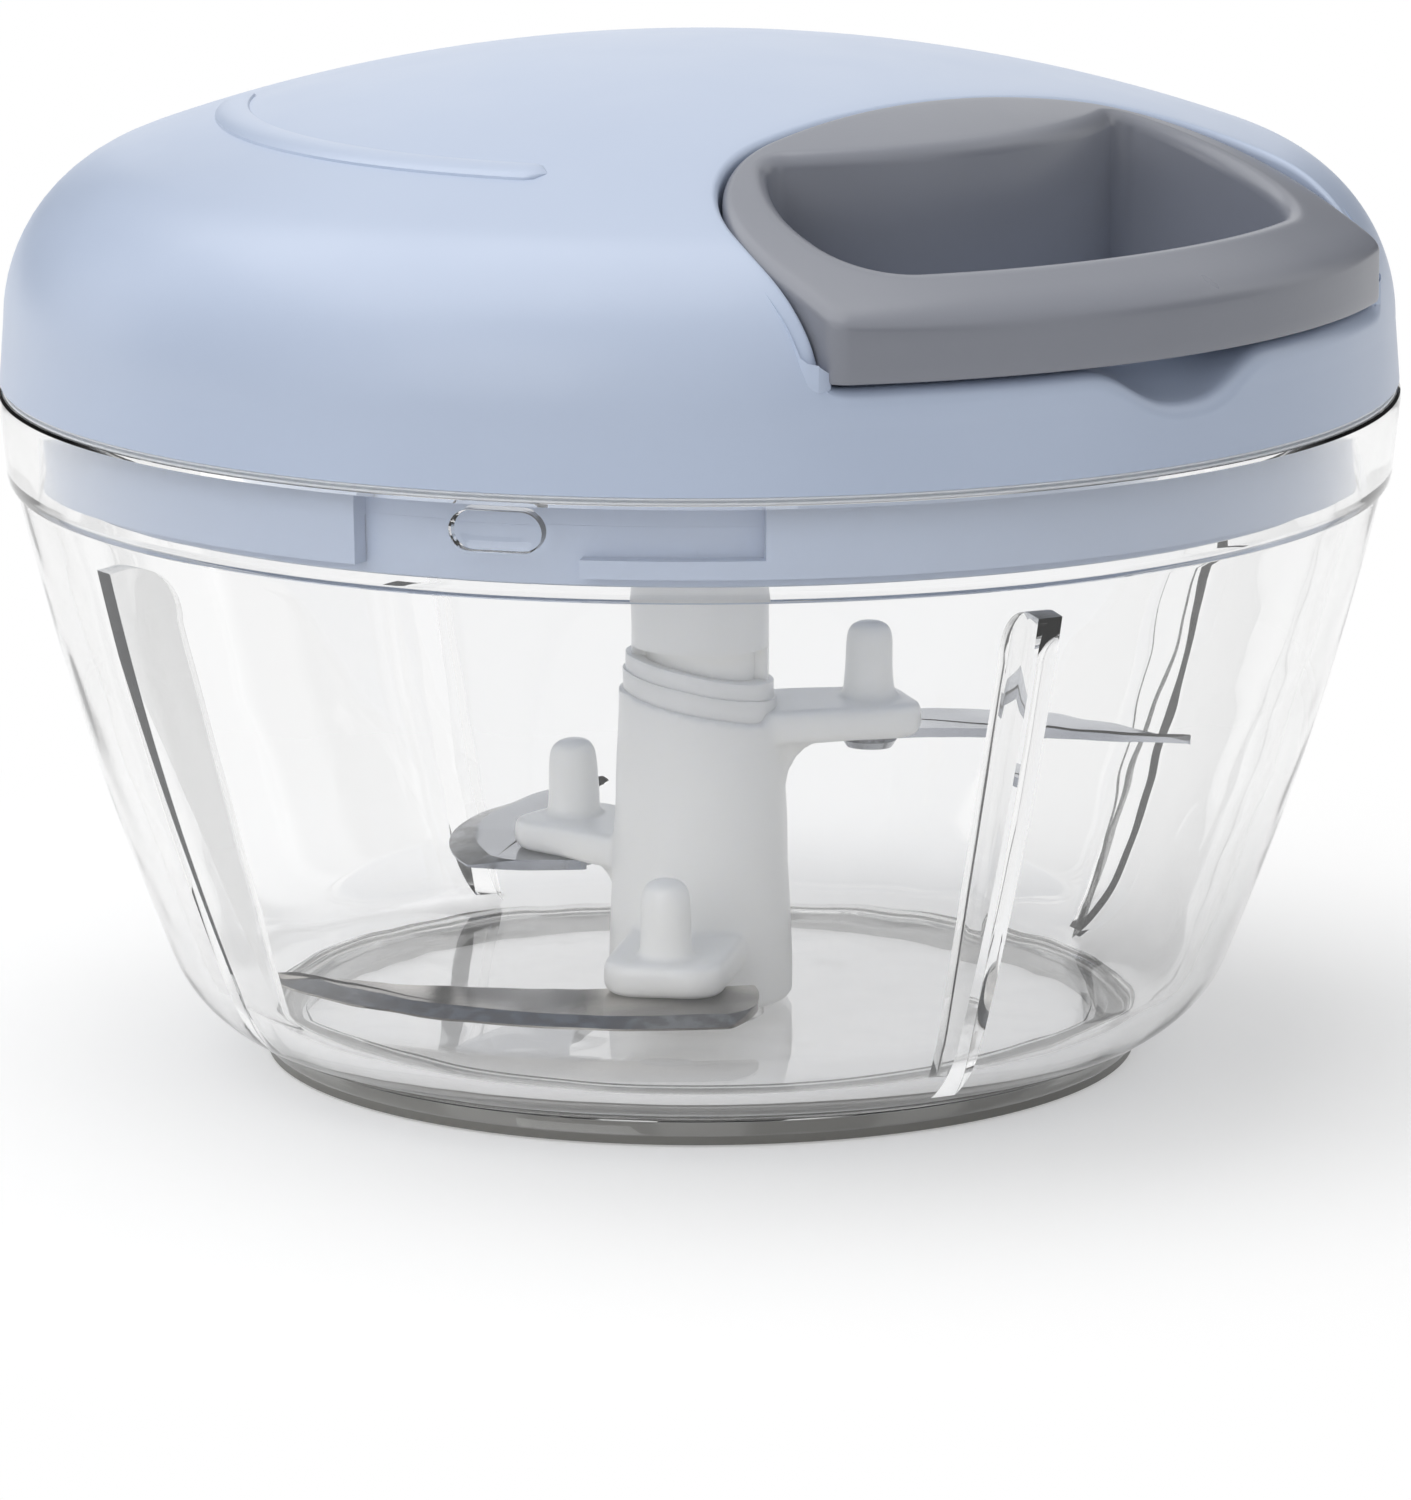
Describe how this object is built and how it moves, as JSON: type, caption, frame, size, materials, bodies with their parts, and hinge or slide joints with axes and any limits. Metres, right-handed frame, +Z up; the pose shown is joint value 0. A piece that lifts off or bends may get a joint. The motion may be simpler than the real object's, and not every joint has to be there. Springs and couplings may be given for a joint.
{
  "type": "pull-string food chopper",
  "caption": "Hand food chopper with a clear bowl, a bladed rotor on a centre pin, a domed bayonet lid with a recoil cord reel and a docked pull handle.",
  "frame": {"origin": "middle of the foot's underside, on the rotor axis", "axes": "+Z up along the rotor axis, the pull handle leaves toward -Y"},
  "size_m": [0.13, 0.13, 0.0942],
  "materials": {
    "clear_bowl": "clear moulded",
    "foot_silicone": "satin silicone",
    "pin_steel": "turned",
    "seal_silicone": "satin silicone",
    "lid_blue": "satin moulded",
    "screw_steel": "zinc plated",
    "white_pom": "moulded",
    "spring_steel": "rolled strip",
    "eyelet_chrome": "polished",
    "cord_nylon": "braided",
    "handle_grey": "satin moulded",
    "rotor_white": "satin moulded",
    "bush_bronze": "sintered",
    "blade_steel": "ground"
  },
  "bodies": {
    "bowl": {"bowl": "clear_bowl", "foot_ring": "foot_silicone", "pivot_pin": "pin_steel"},
    "seal": {"seal_ring": "seal_silicone"},
    "lid": {"lid_cover": "lid_blue", "lid_base": "lid_blue", "base_screws": "screw_steel", "shaft_bush": "white_pom", "spring_case": "white_pom", "spring_cover": "white_pom", "recoil_spring": "spring_steel", "cord_eyelet": "eyelet_chrome", "cord_lead": "cord_nylon"},
    "reel": {"drive_shaft": "white_pom", "cord_reel": "white_pom", "reel_clip": "spring_steel", "pull_cord": "cord_nylon"},
    "handle": {"pull_handle": "handle_grey", "knot_plug": "handle_grey", "cord_knot": "cord_nylon"},
    "rotor": {"rotor_hub": "rotor_white", "pivot_bush": "bush_bronze", "blade_lower": "blade_steel", "blade_middle": "blade_steel", "blade_upper": "blade_steel", "blade_pins": "pin_steel"}
  },
  "joints": [
    {"name": "lid_lift", "type": "slide", "parent": "bowl", "child": "seal", "axis": [0, 0, 1], "range_m": [0, 0.08]},
    {"name": "lid_turn", "type": "hinge", "parent": "seal", "child": "lid", "pos_m": [0, 0, 0.0636], "axis": [0, 0, -1], "range_deg": [0, 15]},
    {"name": "handle_pull", "type": "slide", "parent": "lid", "child": "handle", "axis": [0, -1, 0], "range_m": [0, 0.28], "stiffness_N_per_m": 12, "springref_m": -0.3, "deforming": ["pull_cord", "cord_lead"]},
    {"name": "reel_spin", "type": "hinge", "parent": "lid", "child": "reel", "pos_m": [0, 0, 0.078], "axis": [0, 0, 1], "range_deg": [0, 1190], "deforming": ["recoil_spring"]},
    {"name": "rotor_spin", "type": "hinge", "parent": "bowl", "child": "rotor", "pos_m": [0, 0, 0.009], "axis": [0, 0, 1], "range_deg": [0, 1190]}
  ],
  "couplings": [
    {"joint": "reel_spin", "follows": "handle_pull", "rad_per_m": 73.8},
    {"joint": "rotor_spin", "follows": "handle_pull", "rad_per_m": 73.8}
  ]
}
